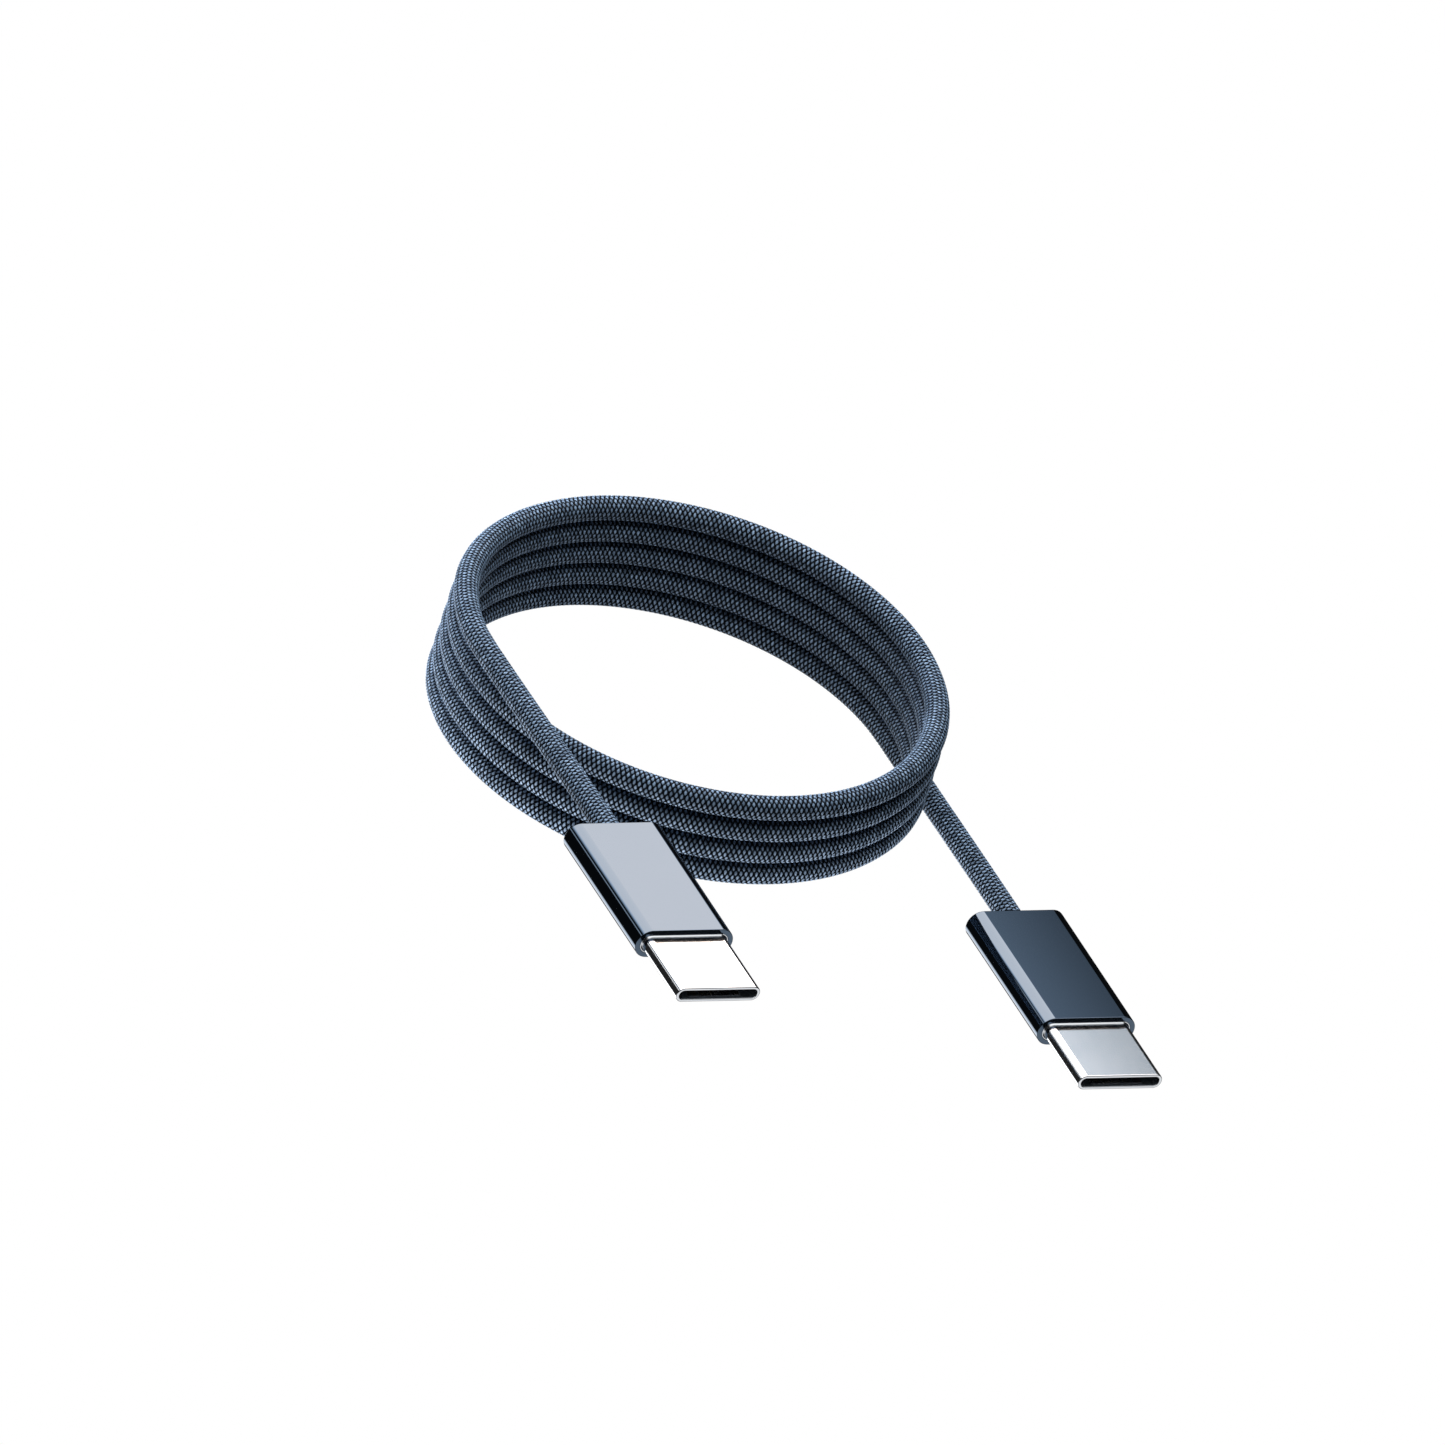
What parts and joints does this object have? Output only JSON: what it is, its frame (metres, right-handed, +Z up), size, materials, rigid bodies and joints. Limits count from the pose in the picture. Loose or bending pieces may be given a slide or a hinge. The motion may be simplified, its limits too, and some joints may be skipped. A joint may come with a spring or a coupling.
{
  "type": "charging cable",
  "caption": "Coiled braided charging cable with a flat metal-cased reversible plug at each end.",
  "frame": {"origin": "midway between the two plugs, on the standing surface", "axes": "+X from the left plug to the right plug, +Y from the plugs' mouths back to the coil, +Z up along the coil's axis"},
  "size_m": [0.0524, 0.0737, 0.0133],
  "materials": {
    "braid": "fine two-tone braided sleeve, slate navy",
    "casing_metal": "glossy dark blue-grey metal",
    "collar_plastic": "black plastic",
    "shell_metal": "bright polished plating",
    "housing_plastic": "black moulded plastic",
    "spring_steel": "stamped spring steel",
    "contact_gold": "gold-plated copper alloy",
    "board_laminate": "green laminate",
    "chip_resin": "black moulding resin",
    "shield_steel": "thin pressed steel",
    "jacket_rubber": "dark grey jacket",
    "crimp_brass": "drawn brass ring",
    "wire_red": "red insulation",
    "wire_black": "black insulation"
  },
  "bodies": {
    "cable": {"cord_coil": "braid", "cord_tail_left": "braid", "cord_tail_right": "braid", "left_casing": "casing_metal", "left_trim_ring": "shell_metal", "left_collar": "collar_plastic", "left_connector_shell": "shell_metal", "left_contact_housing": "housing_plastic", "left_ground_spring_upper": "spring_steel", "left_ground_spring_lower": "spring_steel", "left_board": "board_laminate", "left_chip": "chip_resin", "left_shield": "shield_steel", "left_inner_jacket": "jacket_rubber", "left_crimp_ring": "crimp_brass", "left_wire_power": "wire_red", "left_wire_ground": "wire_black", "right_casing": "casing_metal", "right_trim_ring": "shell_metal", "right_collar": "collar_plastic", "right_connector_shell": "shell_metal", "right_contact_housing": "housing_plastic", "right_ground_spring_upper": "spring_steel", "right_ground_spring_lower": "spring_steel", "right_board": "board_laminate", "right_chip": "chip_resin", "right_shield": "shield_steel", "right_inner_jacket": "jacket_rubber", "right_crimp_ring": "crimp_brass", "right_wire_power": "wire_red", "right_wire_ground": "wire_black"},
    "left_latch_left_arm": {"left_latch_left": "spring_steel"},
    "left_latch_right_arm": {"left_latch_right": "spring_steel"},
    "left_contacts_upper": {"left_contact_upper_01": "contact_gold", "left_contact_upper_04": "contact_gold", "left_contact_upper_05": "contact_gold", "left_contact_upper_06": "contact_gold", "left_contact_upper_07": "contact_gold", "left_contact_upper_09": "contact_gold", "left_contact_upper_12": "contact_gold"},
    "left_contacts_lower": {"left_contact_lower_01": "contact_gold", "left_contact_lower_04": "contact_gold", "left_contact_lower_05": "contact_gold", "left_contact_lower_09": "contact_gold", "left_contact_lower_12": "contact_gold"},
    "right_latch_left_arm": {"right_latch_left": "spring_steel"},
    "right_latch_right_arm": {"right_latch_right": "spring_steel"},
    "right_contacts_upper": {"right_contact_upper_01": "contact_gold", "right_contact_upper_04": "contact_gold", "right_contact_upper_05": "contact_gold", "right_contact_upper_06": "contact_gold", "right_contact_upper_07": "contact_gold", "right_contact_upper_09": "contact_gold", "right_contact_upper_12": "contact_gold"},
    "right_contacts_lower": {"right_contact_lower_01": "contact_gold", "right_contact_lower_04": "contact_gold", "right_contact_lower_05": "contact_gold", "right_contact_lower_09": "contact_gold", "right_contact_lower_12": "contact_gold"}
  },
  "joints": [
    {"name": "left_latch_left_flex", "type": "hinge", "parent": "cable", "child": "left_latch_left_arm", "pos_m": [-0.02499, -0.0053, 0.01184], "axis": [0, 0, -1], "range_deg": [0, 2.3], "stiffness_Nm_per_rad": 0.1},
    {"name": "left_latch_right_flex", "type": "hinge", "parent": "cable", "child": "left_latch_right_arm", "pos_m": [-0.01787, -0.0053, 0.01184], "axis": [0, 0, 1], "range_deg": [0, 2.3], "stiffness_Nm_per_rad": 0.1},
    {"name": "left_contacts_upper_flex", "type": "hinge", "parent": "cable", "child": "left_contacts_upper", "pos_m": [-0.02143, -0.0059, 0.0121], "axis": [-1, 0, 0], "range_deg": [0, 1.8], "stiffness_Nm_per_rad": 0.3},
    {"name": "left_contacts_lower_flex", "type": "hinge", "parent": "cable", "child": "left_contacts_lower", "pos_m": [-0.02143, -0.0059, 0.01157], "axis": [1, 0, 0], "range_deg": [0, 1.8], "stiffness_Nm_per_rad": 0.2},
    {"name": "right_latch_left_flex", "type": "hinge", "parent": "cable", "child": "right_latch_left_arm", "pos_m": [0.01787, -0.0053, 0.00142], "axis": [0, 0, -1], "range_deg": [0, 2.3], "stiffness_Nm_per_rad": 0.1},
    {"name": "right_latch_right_flex", "type": "hinge", "parent": "cable", "child": "right_latch_right_arm", "pos_m": [0.02499, -0.0053, 0.00142], "axis": [0, 0, 1], "range_deg": [0, 2.3], "stiffness_Nm_per_rad": 0.1},
    {"name": "right_contacts_upper_flex", "type": "hinge", "parent": "cable", "child": "right_contacts_upper", "pos_m": [0.02143, -0.0059, 0.00168], "axis": [-1, 0, 0], "range_deg": [0, 1.8], "stiffness_Nm_per_rad": 0.3},
    {"name": "right_contacts_lower_flex", "type": "hinge", "parent": "cable", "child": "right_contacts_lower", "pos_m": [0.02143, -0.0059, 0.00115], "axis": [1, 0, 0], "range_deg": [0, 1.8], "stiffness_Nm_per_rad": 0.2}
  ]
}
